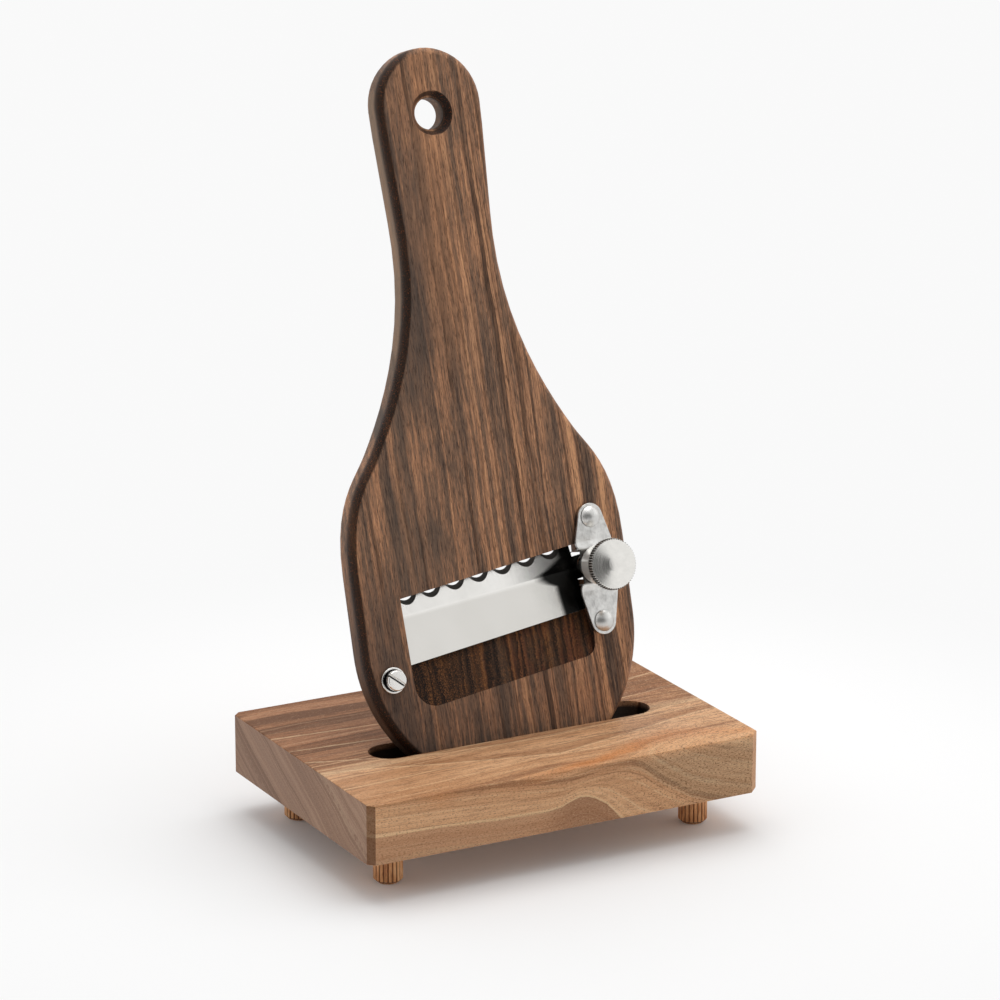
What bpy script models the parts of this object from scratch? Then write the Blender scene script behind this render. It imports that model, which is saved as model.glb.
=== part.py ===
"""Truffle slicer that stands in its own wooden block.

The paddle leans back in a slot. Its window holds a scalloped blade on a sloping bed, like the iron of a
plane. The blade's left end is clamped in a kerf and a knurled knob moves its right end in and out.
All sizes are in metres. The origin is on the floor under the middle of the whole object.
"""
from math import asin, atan2, cos, hypot, pi, radians, sin, sqrt, tan

import bmesh
import bpy
from mathutils import Matrix, Vector
from mathutils.geometry import interpolate_bezier

# Gaps between neighbours
SEAT_GAP = 0.0003
RUNNING_GAP = 0.0002
TOE_GAP = 0.0002
MOUTH_GAP = 0.00015
OVERRUN = 0.002

# Block
BLOCK_LENGTH = 0.150
BLOCK_DEPTH = 0.105
BLOCK_HEIGHT = 0.021
BLOCK_CHAMFER = 0.0022
RIGHT_FRONT_CHAMFER = 0.0037
BLOCK_EDGE = 0.0004

# Slot in the block
SLOT_DEPTH = 0.016
SLOT_FROM_FRONT = 0.0371
SLOT_END_GAP = 0.00135
SLOT_SIDE_SHIFT = 0.0016

# Feet, cut from fluted dowel
FOOT_RADIUS = 0.005
FOOT_HEIGHT = 0.014
FOOT_BURIED = 0.012
FOOT_CHAMFER = 0.0013
FOOT_INSET_X = 0.0161
FOOT_INSET_Y = 0.0186
FLUTES = 20
FLUTE_DEPTH = 0.00045

# Paddle
PADDLE_LENGTH = 0.2492
PADDLE_THICKNESS = 0.0104
ROUND_OVER = 0.0026
LEAN = radians(16.26)
PADDLE_SIDE_SHIFT = 0.0003
BODY_RADIUS = 0.05255
TOE_CUT = 0.00425
SIDE_RISE = 0.0273
SHOULDER_INSET = 0.0138
SHOULDER_RISE = 0.0391
SHOULDER_SLOPE = radians(31.5)
NECK_RADIUS = 0.0179
NECK_BELOW_TOP = 0.0661
END_RADIUS = 0.0197
SIDE_HANDLE_SHARE = 0.632
SHOULDER_HANDLE_SHARE = 0.222
THROAT_HANDLE_SHARE = 0.24
NECK_HANDLE_SHARE = 0.46
FLARE_HANDLE_SHARE = 0.263

# Hanging hole
HOLE_FROM_TOP = 0.0225
HOLE_RADIUS = 0.0054
HOLE_CHAMFER = 0.0024

# Window and its sloping bed
WINDOW_MARGIN = 0.01615
WINDOW_TAPER = 0.0014
WINDOW_BOTTOM = 0.0313
WINDOW_HEIGHT = 0.0386
WINDOW_SKEW = radians(7.53)
WINDOW_LEFT_CORNER = 0.008
WINDOW_RIGHT_CORNER = 0.0045
BED_STEP = 0.00025

# Blade
BLADE_WIDTH = 0.0238
BLADE_THICKNESS = 0.001
BLADE_FLOAT = 0.0005
BLADE_CUT = 0.0005
BLADE_IN_KERF = 0.0078
BLADE_END_GAP = 0.0014
KERF_BELOW_SCREW = 0.0027
SCALLOPS = 7
SCALLOP_END_LAND = 0.00276
SCALLOP_RADIUS = 0.0069
SCALLOP_EDGE_DEPTH = 0.0022
SCALLOP_FACE_DEPTH = 0.00385
SCALLOP_SHIFT = -0.00055

# Knob and its screw
KNOB_OUTSIDE_WINDOW = 0.00265
KNOB_BELOW_TOP = 0.00904
KNOB_RADIUS = 0.00894
KNOB_RIM = 0.0034
KNOB_REACH = 0.0147
KNOB_EDGE = 0.0003
KNOB_DISH = 0.00025
KNOB_DIMPLE = 0.0014
KNURLS = 60
KNURL_DEPTH = 0.00035
HUB_RADIUS = 0.0057
HUB_FOOT = 0.0016
HUB_GROOVE = 0.0006
STEM_RADIUS = 0.002
STEM_SHORT_OF_BACK = 0.0008
STEM_IN_KNOB = 0.0065
COLLAR_RADIUS = 0.005
COLLAR_HEIGHT = 0.0037
COLLAR_PIN_RADIUS = 0.0006
WELL_GAP = 0.0006
NUT_RADIUS = 0.0034
NUT_HEIGHT = 0.0016
TAB_RADIUS = 0.004
TAB_HOLE = 0.0026

# Bracket
BRACKET_THICKNESS = 0.0012
BRACKET_LIFT = 0.00075
EYE_RADIUS = 0.0052
NECK_HALF_WIDTH = 0.0045
SHOULDER_DISTANCE = 0.0059
FOOT_HALF_WIDTH = 0.007
FOOT_WAIST_SHARE = 0.28
FOOT_END_RADIUS = 0.0047
FOOT_CORNER = 0.0014
RIVET_ABOVE = 0.0167
RIVET_BELOW = 0.0195
RIVET_RADIUS = 0.00175
RIVET_HEAD_RADIUS = 0.00365
RIVET_HEAD_HEIGHT = 0.0016
RIVET_TAIL = 0.0012

# Clamp screw at the blade's left end
CLAMP_OUTSIDE_WINDOW = 0.00685
CLAMP_STOP_GAP = 0.00025
CLAMP_RADIUS = 0.002
CLAMP_HEAD_RADIUS = 0.0035
CLAMP_HEAD_HEIGHT = 0.0026
CLAMP_HEAD_EDGE = 0.0003
CLAMP_SLOT_WIDTH = 0.0011
CLAMP_SLOT_DEPTH = 0.0011
CLAMP_SLOT_TURN = radians(-33)
CLAMP_SHORT_OF_BACK = 0.0009
WASHER_RADIUS = 0.0045
WASHER_THICKNESS = 0.0008
INSERT_RADIUS = 0.003
INSERT_LENGTH = 0.0048

# Faceting
ROUND_STEPS = 36
ARC_STEPS = 12
CURVE_STEPS = 10
MERGE = 0.00001

# Sizes that follow from the ones above
SLOT_RADIUS_SHARE = 0.5
BLOCK_TOP = FOOT_HEIGHT + BLOCK_HEIGHT
SLOT_FLOOR = BLOCK_TOP - SLOT_DEPTH
EDGE_CENTRE = PADDLE_THICKNESS - ROUND_OVER
PADDLE_Z = SLOT_FLOOR + SEAT_GAP + ROUND_OVER - ROUND_OVER * cos(LEAN) + EDGE_CENTRE * sin(LEAN)
BACK_FROM_ORIGIN = (PADDLE_THICKNESS + SEAT_GAP + (BLOCK_TOP - PADDLE_Z) * sin(LEAN)) / cos(LEAN)
TOE_FROM_ORIGIN = ROUND_OVER * sin(LEAN) + ROUND_OVER * cos(LEAN) - ROUND_OVER
SLOT_WIDTH = BACK_FROM_ORIGIN - TOE_FROM_ORIGIN + TOE_GAP
SLOT_FRONT = SLOT_FROM_FRONT - BLOCK_DEPTH / 2
PADDLE_Y = SLOT_FRONT + SLOT_WIDTH - BACK_FROM_ORIGIN
PADDLE_BACK = (PADDLE_LENGTH - ROUND_OVER) * sin(LEAN) + EDGE_CENTRE * cos(LEAN) + ROUND_OVER
STAND_Y = (BLOCK_DEPTH / 2 - PADDLE_Y - PADDLE_BACK) / 2

BODY_CENTRE = BODY_RADIUS - TOE_CUT
SIDE_TOP = BODY_CENTRE + SIDE_RISE
SHOULDER_X = BODY_RADIUS - SHOULDER_INSET
SHOULDER_Y = SIDE_TOP + SHOULDER_RISE
NECK_Y = PADDLE_LENGTH - NECK_BELOW_TOP
END_Y = PADDLE_LENGTH - END_RADIUS
WINDOW_HALF_WIDTH = BODY_RADIUS - WINDOW_MARGIN

EDGE_REACH = WINDOW_HEIGHT - MOUTH_GAP
EDGE_DEPTH = PADDLE_THICKNESS + BLADE_CUT - BED_STEP
BED_ANGLE = atan2(EDGE_DEPTH, EDGE_REACH) + asin(BLADE_FLOAT / hypot(EDGE_REACH, EDGE_DEPTH))
BLADE_TOP_FACE = BLADE_FLOAT + BLADE_THICKNESS
BLADE_TOP = (EDGE_REACH - BLADE_TOP_FACE * sin(BED_ANGLE)) / cos(BED_ANGLE)
BLADE_LOW = BLADE_TOP - BLADE_WIDTH
BLADE_LOW_REACH = BLADE_LOW * cos(BED_ANGLE) + BLADE_FLOAT * sin(BED_ANGLE)

HUB_BASE = 2 * SEAT_GAP + BRACKET_LIFT + BRACKET_THICKNESS
HEAD_SEAT = 2 * SEAT_GAP + WASHER_THICKNESS
COLLAR_TOP = BRACKET_LIFT
WELL_RADIUS = COLLAR_RADIUS + WELL_GAP


def material(name, colour, roughness, metallic=0.0):
    """A Principled material in one colour."""
    made = bpy.data.materials.new(name)
    made.use_nodes = True
    shader = made.node_tree.nodes["Principled BSDF"]
    shader.inputs["Base Color"].default_value = (*colour, 1.0)
    shader.inputs["Roughness"].default_value = roughness
    shader.inputs["Metallic"].default_value = metallic
    return made


def link(made, parent, where=None, look=None):
    """Put an object in the part's collection, under its parent."""
    PART.objects.link(made)
    made.parent = parent
    made.matrix_local = where if where is not None else Matrix()
    if look:
        made.data.materials.append(look)
    return made


def empty(name, parent, where):
    """An empty that carries pieces, on a joint's axis where one moves."""
    return link(bpy.data.objects.new(name, None), parent, where)


def arc(centre, radius, start, end, steps):
    """Points along a circular arc, both ends included."""
    angles = [start + (end - start) * i / steps for i in range(steps + 1)]
    return [(centre[0] + radius * cos(a), centre[1] + radius * sin(a)) for a in angles]


def bezier(start, start_handle, end_handle, end, steps):
    """Points along a Bezier curve, without its first one."""
    points = [Vector((*p, 0.0)) for p in (start, start_handle, end_handle, end)]
    return [tuple(p.xy) for p in interpolate_bezier(*points, steps + 1)[1:]]


def rounded(corners, steps):
    """A closed outline whose corners (x, y, radius) become arcs."""
    outline = []
    for i, (x, y, radius) in enumerate(corners):
        corner = Vector((x, y))
        back = (Vector(corners[i - 1][:2]) - corner).normalized()
        ahead = (Vector(corners[(i + 1) % len(corners)][:2]) - corner).normalized()
        if not radius:
            outline.append((x, y))
            continue
        half = back.angle(ahead) / 2
        centre = corner + (back + ahead).normalized() * radius / sin(half)
        start = corner + back * radius / tan(half) - centre
        end = corner + ahead * radius / tan(half) - centre
        begin = atan2(start.y, start.x)
        turn = (atan2(end.y, end.x) - begin + pi) % (2 * pi) - pi
        outline += arc(centre, radius, begin, begin + turn, steps)
    return outline


def mirrored(half):
    """A closed outline from its right half, listed from the bottom up."""
    return half + [(-x, y) for x, y in reversed(half) if x > MERGE]


def circle(centre, radius, steps=ROUND_STEPS):
    """The points of a full circle."""
    return arc(centre, radius, 0.0, 2 * pi, steps)[:-1]


def as_mesh(source, name):
    """Replace an object by its evaluated mesh, with loose caps welded on."""
    bpy.context.scene.collection.objects.link(source)
    graph = bpy.context.evaluated_depsgraph_get()
    mesh = bpy.data.meshes.new_from_object(source.evaluated_get(graph))
    mesh.name = name
    bpy.data.objects.remove(source)
    work = bmesh.new()
    work.from_mesh(mesh)
    bmesh.ops.remove_doubles(work, verts=work.verts, dist=MERGE / 10)
    work.to_mesh(mesh)
    work.free()
    return bpy.data.objects.new(name, mesh)


def plate(name, outlines, thickness, top=0.0, edge=0.0):
    """A flat piece with holes, its upper face at the given height and its edges rounded over."""
    curve = bpy.data.curves.new(name, "CURVE")
    curve.dimensions = "2D"
    curve.fill_mode = "BOTH"
    curve.extrude = thickness / 2 - edge
    curve.bevel_depth = edge
    curve.offset = -edge
    curve.bevel_resolution = 2
    for points in outlines:
        spline = curve.splines.new("POLY")
        spline.points.add(len(points) - 1)
        for point, (x, y) in zip(spline.points, points):
            point.co = (x, y, 0.0, 1.0)
        spline.use_cyclic_u = True
    made = as_mesh(bpy.data.objects.new(name, curve), name)
    made.data.transform(Matrix.Translation((0.0, 0.0, top - thickness / 2)))
    return made


def turned(name, profile, steps=ROUND_STEPS, closed=False):
    """A turned piece about Z. The profile runs down its outer side, as (radius, height)."""
    mesh = bpy.data.meshes.new(name)
    edges = [(i, i + 1) for i in range(len(profile) - 1)]
    if closed:
        edges.append((len(profile) - 1, 0))
    mesh.from_pydata([(r, 0.0, z) for r, z in profile], edges, [])
    lathe = bpy.data.objects.new(name, mesh)
    screw = lathe.modifiers.new("Turn", "SCREW")
    screw.steps = steps
    screw.render_steps = steps
    screw.use_merge_vertices = True
    screw.merge_threshold = MERGE
    return as_mesh(lathe, name)


def box(name, low, high):
    """A rectangular block between two corners."""
    mesh = bpy.data.meshes.new(name)
    work = bmesh.new()
    bmesh.ops.create_cube(work, size=1.0)
    low, high = Vector(low), Vector(high)
    bmesh.ops.scale(work, vec=high - low, verts=work.verts)
    bmesh.ops.translate(work, vec=(low + high) / 2, verts=work.verts)
    work.to_mesh(mesh)
    work.free()
    return bpy.data.objects.new(name, mesh)


def flute(piece, above, count, columns, depth):
    """Draw in one column of vertices in every few, where they lie outside a radius."""
    for vertex in piece.data.vertices:
        radius = hypot(vertex.co.x, vertex.co.y)
        column = round(atan2(vertex.co.y, vertex.co.x) / (2 * pi) * count * columns)
        if radius > above and column % columns == 0:
            vertex.co.xy *= (radius - depth) / radius


def cut(target, cutter, parent, where=None):
    """Take the cutter's shape out of a piece."""
    CUTTERS.objects.link(cutter)
    cutter.parent = parent
    cutter.matrix_local = where if where is not None else Matrix()
    cutter.hide_render = True
    cutter.display_type = "WIRE"
    boolean = target.modifiers.new(cutter.name, "BOOLEAN")
    boolean.object = cutter
    boolean.operation = "DIFFERENCE"


def smooth(piece):
    """Shade round sides smooth and keep the edges sharp."""
    piece.data.shade_smooth()
    piece.data.set_sharp_from_angle(angle=radians(35))


def at(x=0.0, y=0.0, z=0.0):
    """A plain move."""
    return Matrix.Translation((x, y, z))


def on_bed(x, reach):
    """A point of the face frame from its place along and up the skewed window."""
    return (
        x * cos(WINDOW_SKEW) - reach * sin(WINDOW_SKEW),
        WINDOW_BOTTOM + x * sin(WINDOW_SKEW) + reach * cos(WINDOW_SKEW),
    )


def along_bed(face_x, reach):
    """How far along the window a place lies, from its distance across the paddle."""
    return (face_x + reach * sin(WINDOW_SKEW)) / cos(WINDOW_SKEW)


def make_stand(stand):
    """The block with its slot, on four fluted dowel feet."""
    half, deep = BLOCK_LENGTH / 2, BLOCK_DEPTH / 2
    small, large = BLOCK_CHAMFER, RIGHT_FRONT_CHAMFER
    outline = [
        (-half + small, -deep), (half - large, -deep), (half, -deep + large), (half, deep - small),
        (half - small, deep), (-half + small, deep), (-half, deep - small), (-half, -deep + small),
    ]
    block = plate("stand_block", [outline], BLOCK_HEIGHT, BLOCK_TOP, BLOCK_EDGE)
    link(block, stand, look=BLOCK_WOOD)

    radius = SLOT_WIDTH * SLOT_RADIUS_SHARE
    reach = BODY_RADIUS + SLOT_END_GAP - radius
    middle = SLOT_FRONT + radius
    ends = arc((SLOT_SIDE_SHIFT + reach, middle), radius, -pi / 2, pi / 2, ARC_STEPS)
    ends += arc((SLOT_SIDE_SHIFT - reach, middle), radius, pi / 2, 3 * pi / 2, ARC_STEPS)
    slot = plate("slot_cutter", [ends], SLOT_DEPTH + OVERRUN, BLOCK_TOP + OVERRUN)
    cut(block, slot, stand)

    hole_top = FOOT_HEIGHT + FOOT_BURIED + SEAT_GAP
    hole = [(0.0, hole_top), (FOOT_RADIUS + RUNNING_GAP, hole_top)]
    hole += [(FOOT_RADIUS + RUNNING_GAP, FOOT_HEIGHT - OVERRUN), (0.0, FOOT_HEIGHT - OVERRUN)]
    top = FOOT_HEIGHT + FOOT_BURIED
    dowel = [(0.0, top), (FOOT_RADIUS - FOOT_CHAMFER, top), (FOOT_RADIUS, top - FOOT_CHAMFER)]
    dowel += [(FOOT_RADIUS, FOOT_CHAMFER), (FOOT_RADIUS - FOOT_CHAMFER, 0.0), (0.0, 0.0)]
    for end, y in (("front", FOOT_INSET_Y - deep), ("back", deep - FOOT_INSET_Y)):
        for side, x in (("left", FOOT_INSET_X - half), ("right", half - FOOT_INSET_X)):
            cut(block, turned(f"foot_hole_{end}_{side}", hole), stand, at(x, y))
            foot = turned(f"stand_foot_{end}_{side}", dowel, FLUTES * 3)
            flute(foot, FOOT_RADIUS - FOOT_CHAMFER - MERGE, FLUTES, 3, FLUTE_DEPTH)
            link(foot, stand, at(x, y), FOOT_WOOD)


def paddle_outline():
    """The bat's outline: round body, straight sides, shoulders, neck and round end."""
    start = -asin(BODY_CENTRE / BODY_RADIUS)
    half = arc((0.0, BODY_CENTRE), BODY_RADIUS, start, 0.0, 2 * ARC_STEPS)
    side = (BODY_RADIUS, SIDE_TOP)
    slope = Vector((-sin(SHOULDER_SLOPE), cos(SHOULDER_SLOPE)))
    shoulder = Vector((SHOULDER_X, SHOULDER_Y))
    neck = (NECK_RADIUS, NECK_Y)
    end = (END_RADIUS, END_Y)
    half.append(side)
    before = shoulder - slope * SHOULDER_HANDLE_SHARE * SHOULDER_RISE
    straight = (side[0], side[1] + SIDE_HANDLE_SHARE * SHOULDER_RISE)
    half += bezier(side, straight, before, shoulder, CURVE_STEPS)
    throat = NECK_Y - SHOULDER_Y
    after = shoulder + slope * THROAT_HANDLE_SHARE * throat
    half += bezier(shoulder, after, (neck[0], neck[1] - NECK_HANDLE_SHARE * throat), neck, CURVE_STEPS)
    flare = FLARE_HANDLE_SHARE * (END_Y - NECK_Y)
    half += bezier(neck, (neck[0], neck[1] + flare), (end[0], end[1] - flare), end, CURVE_STEPS // 2)
    half += arc((0.0, end[1]), END_RADIUS, 0.0, pi / 2, ARC_STEPS)[1:]
    return mirrored(half)


def window_cutter():
    """The window's prism, kept only where it lies above the sloping bed."""
    low, high = WINDOW_HALF_WIDTH - WINDOW_TAPER, WINDOW_HALF_WIDTH
    corners = []
    for x, reach, radius in (
        (-low, 0.0, WINDOW_LEFT_CORNER), (low, 0.0, WINDOW_RIGHT_CORNER),
        (high, WINDOW_HEIGHT, 0.0), (-high, WINDOW_HEIGHT, 0.0),
    ):
        corners.append((*on_bed(along_bed(x, reach), reach), radius))
    prism = plate("window_cutter", [rounded(corners, ARC_STEPS)], 2 * PADDLE_THICKNESS, OVERRUN)
    work = bmesh.new()
    work.from_mesh(prism.data)
    whole = work.verts[:] + work.edges[:] + work.faces[:]
    normal = BED.to_3x3() @ Vector((0.0, 0.0, 1.0))
    bmesh.ops.bisect_plane(work, geom=whole, plane_co=BED.translation, plane_no=normal, clear_inner=True)
    rim = [edge for edge in work.edges if edge.is_boundary]
    bmesh.ops.contextual_create(work, geom=rim)
    bmesh.ops.recalc_face_normals(work, faces=work.faces)
    work.to_mesh(prism.data)
    work.free()
    return prism


def make_paddle(face):
    """The wooden bat with everything that is cut into it."""
    paddle = plate("paddle", [paddle_outline()], PADDLE_THICKNESS, 0.0, ROUND_OVER)
    link(paddle, face, look=PADDLE_WOOD)

    left = along_bed(-WINDOW_HALF_WIDTH, EDGE_REACH)
    low = CLAMP_REACH - KERF_BELOW_SCREW
    kerf = box(
        "kerf_cutter",
        (BLADE_LEFT - BLADE_FLOAT, low / cos(BED_ANGLE), BLADE_FLOAT - SEAT_GAP),
        (left + OVERRUN, BLADE_TOP + 2 * OVERRUN, BLADE_TOP_FACE + SEAT_GAP),
    )
    cut(paddle, kerf, face, BED)

    back = -PADDLE_THICKNESS
    wide = HOLE_RADIUS + HOLE_CHAMFER
    hanger = [
        (0.0, OVERRUN), (wide + OVERRUN, OVERRUN), (HOLE_RADIUS, -HOLE_CHAMFER),
        (HOLE_RADIUS, back + HOLE_CHAMFER), (wide + OVERRUN, back - OVERRUN), (0.0, back - OVERRUN),
    ]
    cut(paddle, turned("hanging_hole_cutter", hanger, 48), face, at(0.0, PADDLE_LENGTH - HOLE_FROM_TOP))

    well = [(0.0, OVERRUN), (WELL_RADIUS, OVERRUN), (WELL_RADIUS, back - OVERRUN), (0.0, back - OVERRUN)]
    cut(paddle, turned("screw_well_cutter", well), face, KNOB)

    hole, wide = CLAMP_RADIUS + SEAT_GAP, INSERT_RADIUS + RUNNING_GAP
    inner = back + INSERT_LENGTH + 2 * SEAT_GAP
    clamp = [(0.0, OVERRUN), (hole, OVERRUN), (hole, inner), (wide, inner), (wide, back - OVERRUN)]
    clamp.append((0.0, back - OVERRUN))
    cut(paddle, turned("clamp_hole_cutter", clamp), face, CLAMP)

    hole = RIVET_RADIUS + RUNNING_GAP
    flared = hole + RIVET_TAIL
    rivet = [(0.0, OVERRUN), (hole, OVERRUN), (hole, back + RIVET_TAIL), (flared, back)]
    rivet += [(flared, back - OVERRUN), (0.0, back - OVERRUN)]
    for name, place in RIVETS:
        cut(paddle, turned(f"rivet_hole_{name}", rivet), face, place)
    cut(paddle, window_cutter(), face)
    smooth(paddle)


def bracket_outline():
    """Two teardrop feet joined by an eye, about the knob's axis."""
    half = []
    for sign, rivet in ((-1, RIVET_BELOW), (1, RIVET_ABOVE)):
        waist = SHOULDER_DISTANCE + FOOT_WAIST_SHARE * (rivet - SHOULDER_DISTANCE)
        side = Vector((FOOT_HALF_WIDTH, waist))
        away = Vector((0.0, rivet)) - side
        lean = atan2(away.y, away.x) - asin(FOOT_END_RADIUS / away.length)
        tip = lean - pi / 2
        foot = arc((0.0, rivet), FOOT_END_RADIUS, pi / 2, tip, ARC_STEPS)
        foot.append(tuple(side))
        corner = FOOT_HALF_WIDTH - FOOT_CORNER
        foot += arc((corner, SHOULDER_DISTANCE + FOOT_CORNER), FOOT_CORNER, 0.0, -pi / 2, 4)
        rise = sqrt(EYE_RADIUS ** 2 - NECK_HALF_WIDTH ** 2)
        foot.append((NECK_HALF_WIDTH, SHOULDER_DISTANCE))
        foot += arc((0.0, 0.0), EYE_RADIUS, atan2(rise, NECK_HALF_WIDTH), 0.0, 4)[: 4 if sign > 0 else 5]
        foot = [(x, sign * y) for x, y in foot]
        half += foot if sign < 0 else foot[::-1]
    return mirrored(half)


def make_bracket(knob):
    """The steel bridge, with its middle pressed up a little."""
    rivet = RIVET_RADIUS + RUNNING_GAP
    holes = [circle((0.0, 0.0), STEM_RADIUS + SEAT_GAP, ROUND_STEPS // 2)]
    holes += [circle((0.0, y), rivet, ROUND_STEPS // 2) for y in (RIVET_ABOVE, -RIVET_BELOW)]
    bracket = plate("bracket", [bracket_outline(), *holes], BRACKET_THICKNESS, SEAT_GAP + BRACKET_THICKNESS)
    bend = FOOT_WAIST_SHARE * (RIVET_ABOVE - SHOULDER_DISTANCE)
    work = bmesh.new()
    work.from_mesh(bracket.data)
    levels = 4
    for sign in (-1, 1):
        for i in range(levels + 1):
            level = Vector((0.0, sign * (SHOULDER_DISTANCE + bend * i / levels), 0.0))
            whole = work.verts[:] + work.edges[:] + work.faces[:]
            bmesh.ops.bisect_plane(work, geom=whole, plane_co=level, plane_no=(0.0, 1.0, 0.0))
    for vertex in work.verts:
        part = (abs(vertex.co.y) - SHOULDER_DISTANCE) / bend
        part = min(max(part, 0.0), 1.0)
        vertex.co.z += BRACKET_LIFT * (1 + cos(pi * part)) / 2
    bmesh.ops.triangulate(work, faces=work.faces)
    work.to_mesh(bracket.data)
    work.free()
    link(bracket, knob, look=STEEL)


def make_rivets(face):
    """Domed rivets through the bracket's feet, closed flush in the back."""
    top = SEAT_GAP + BRACKET_THICKNESS + SEAT_GAP
    back = SEAT_GAP - PADDLE_THICKNESS
    radius = (RIVET_HEAD_RADIUS ** 2 + RIVET_HEAD_HEIGHT ** 2) / (2 * RIVET_HEAD_HEIGHT)
    rise = asin(RIVET_HEAD_RADIUS / radius)
    dome = arc((0.0, top + RIVET_HEAD_HEIGHT - radius), radius, pi / 2, pi / 2 - rise, 6)
    flare = RIVET_TAIL - 2 * SEAT_GAP
    profile = dome + [(RIVET_RADIUS, top), (RIVET_RADIUS, back + flare)]
    profile += [(RIVET_RADIUS + flare, back), (0.0, back)]
    for name, place in RIVETS:
        rivet = turned(f"bracket_rivet_{name}", profile)
        smooth(rivet)
        link(rivet, face, place, STEEL)


def make_clamp(face):
    """The slotted screw, its washer and the threaded insert in the back of the wood."""
    washer_profile = [
        (CLAMP_RADIUS + RUNNING_GAP, SEAT_GAP + WASHER_THICKNESS), (WASHER_RADIUS, SEAT_GAP + WASHER_THICKNESS),
        (WASHER_RADIUS, SEAT_GAP), (CLAMP_RADIUS + RUNNING_GAP, SEAT_GAP),
    ]
    washer = turned("clamp_washer", washer_profile, closed=True)
    smooth(washer)
    link(washer, face, CLAMP, STEEL)

    head_top = HEAD_SEAT + CLAMP_HEAD_HEIGHT
    tip = CLAMP_SHORT_OF_BACK - PADDLE_THICKNESS
    profile = [
        (0.0, head_top), (CLAMP_HEAD_RADIUS - CLAMP_HEAD_EDGE, head_top),
        (CLAMP_HEAD_RADIUS, head_top - CLAMP_HEAD_EDGE), (CLAMP_HEAD_RADIUS, HEAD_SEAT),
        (CLAMP_RADIUS, HEAD_SEAT), (CLAMP_RADIUS, tip + CLAMP_HEAD_EDGE),
        (CLAMP_RADIUS - CLAMP_HEAD_EDGE, tip), (0.0, tip),
    ]
    screw = turned("clamp_screw", profile)
    smooth(screw)
    link(screw, face, CLAMP, STEEL)
    slot = box(
        "screw_slot_cutter",
        (-CLAMP_HEAD_RADIUS - OVERRUN, -CLAMP_SLOT_WIDTH / 2, head_top - CLAMP_SLOT_DEPTH),
        (CLAMP_HEAD_RADIUS + OVERRUN, CLAMP_SLOT_WIDTH / 2, head_top + OVERRUN),
    )
    cut(screw, slot, face, CLAMP @ Matrix.Rotation(CLAMP_SLOT_TURN, 4, "Z"))

    low = SEAT_GAP - PADDLE_THICKNESS
    bore = CLAMP_RADIUS + RUNNING_GAP
    profile = [(bore, low + INSERT_LENGTH), (INSERT_RADIUS, low + INSERT_LENGTH), (INSERT_RADIUS, low), (bore, low)]
    insert = turned("clamp_insert", profile, closed=True)
    smooth(insert)
    link(insert, face, CLAMP, BRASS)


def make_knob(knob):
    """The knurled knob, its screw and the pinned collar that keeps them in the bracket."""
    rim = KNOB_REACH - KNOB_RIM
    bore = STEM_RADIUS + RUNNING_GAP
    bore_top = HUB_BASE + STEM_IN_KNOB + SEAT_GAP
    groove = HUB_BASE + HUB_FOOT
    profile = [
        (0.0, KNOB_REACH - KNOB_DISH), (KNOB_DIMPLE, KNOB_REACH - KNOB_DISH / 2),
        (KNOB_DIMPLE + KNOB_EDGE, KNOB_REACH), (KNOB_RADIUS - KNOB_EDGE, KNOB_REACH),
        (KNOB_RADIUS, KNOB_REACH - KNOB_EDGE), (KNOB_RADIUS, rim + KNOB_EDGE),
        (KNOB_RADIUS - KNOB_EDGE, rim), (HUB_RADIUS, rim),
        (HUB_RADIUS, groove + 2 * HUB_GROOVE), (HUB_RADIUS - HUB_GROOVE, groove + HUB_GROOVE),
        (HUB_RADIUS - HUB_GROOVE, groove), (HUB_RADIUS - KNOB_EDGE, groove),
        (HUB_RADIUS - KNOB_EDGE, HUB_BASE), (bore, HUB_BASE), (bore, bore_top), (0.0, bore_top),
    ]
    head = turned("knob", profile, KNURLS * 2)
    flute(head, KNOB_RADIUS - KNOB_EDGE - MERGE, KNURLS, 2, KNURL_DEPTH)
    link(head, knob, look=STEEL)

    tip = STEM_SHORT_OF_BACK - PADDLE_THICKNESS
    top = HUB_BASE + STEM_IN_KNOB
    profile = [(0.0, top), (STEM_RADIUS, top), (STEM_RADIUS, tip + KNOB_EDGE)]
    profile += [(STEM_RADIUS - KNOB_EDGE, tip), (0.0, tip)]
    stem = turned("knob_stem", profile)
    smooth(stem)
    link(stem, knob, look=STEEL)

    low = COLLAR_TOP - COLLAR_HEIGHT
    profile = [(bore, COLLAR_TOP), (COLLAR_RADIUS, COLLAR_TOP), (COLLAR_RADIUS, low), (bore, low)]
    collar = turned("retaining_collar", profile, closed=True)
    smooth(collar)
    link(collar, knob, look=STEEL)

    across = at(0.0, 0.0, (COLLAR_TOP + low) / 2) @ Matrix.Rotation(pi / 2, 4, "Y")
    half = COLLAR_RADIUS - RUNNING_GAP
    profile = [(0.0, half), (COLLAR_PIN_RADIUS, half), (COLLAR_PIN_RADIUS, -half), (0.0, -half)]
    pin = turned("collar_pin", profile, ROUND_STEPS // 3)
    link(pin, knob, across, STEEL)
    half = COLLAR_RADIUS + OVERRUN
    hole = COLLAR_PIN_RADIUS + RUNNING_GAP
    profile = [(0.0, half), (hole, half), (hole, -half), (0.0, -half)]
    for piece in (stem, collar):
        cut(piece, turned(f"pin_hole_{piece.name}", profile, ROUND_STEPS // 3), knob, across)


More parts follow.
